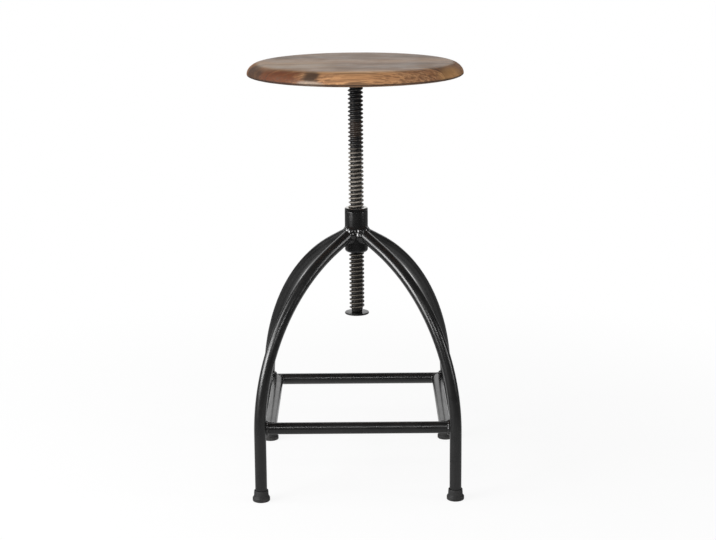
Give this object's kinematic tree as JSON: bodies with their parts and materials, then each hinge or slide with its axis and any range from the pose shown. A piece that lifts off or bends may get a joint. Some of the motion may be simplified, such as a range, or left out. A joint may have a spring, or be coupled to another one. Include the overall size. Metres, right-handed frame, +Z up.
{
  "type": "screw stool",
  "caption": "Round plank seat on a threaded spindle that screws up and down in the hub of a black bent-tube frame, with a square footrest and rubber feet.",
  "frame": {"origin": "on the floor, under the spindle's axis", "axes": "+Z up, +X to the right in the picture, -Y towards the camera"},
  "size_m": [0.35, 0.35, 0.6877],
  "materials": {
    "seat_wood": "waxed, worn",
    "frame_paint": "semi-gloss black paint",
    "hub_paint": "black paint over turned steel",
    "spindle_steel": "black paint rubbed off the thread crests",
    "fastener_steel": "plain steel",
    "foot_rubber": "matt dark grey"
  },
  "bodies": {
    "frame": {"hub_sleeve": "hub_paint", "hub_bush": "hub_paint", "hub_welds": "frame_paint", "leg_front_left": "frame_paint", "leg_front_right": "frame_paint", "leg_back_left": "frame_paint", "leg_back_right": "frame_paint", "footrest_front": "frame_paint", "footrest_back": "frame_paint", "footrest_left": "frame_paint", "footrest_right": "frame_paint", "footrest_welds": "frame_paint", "foot_front_left": "foot_rubber", "foot_front_right": "foot_rubber", "foot_back_left": "foot_rubber", "foot_back_right": "foot_rubber"},
    "stop": {"stop_washer": "frame_paint"},
    "seat": {"seat_board_1": "seat_wood", "seat_board_2": "seat_wood", "seat_board_3": "seat_wood", "seat_board_4": "seat_wood", "seat_board_5": "seat_wood", "seat_plate": "frame_paint", "seat_screws": "fastener_steel", "plate_weld": "frame_paint", "screw_spindle": "spindle_steel", "stop_bolt": "fastener_steel"}
  },
  "joints": [
    {"name": "seat_height", "type": "slide", "parent": "frame", "child": "stop", "axis": [0, 0, 1], "range_m": [-0.2048, 0.1008]},
    {"name": "seat_turn", "type": "hinge", "parent": "stop", "child": "seat", "pos_m": [0, 0, 0.4], "axis": [0, 0, 1], "range_deg": [-10836, 5328]}
  ],
  "couplings": [
    {"joint": "seat_height", "follows": "seat_turn", "m_per_rad": 0.0010823}
  ]
}
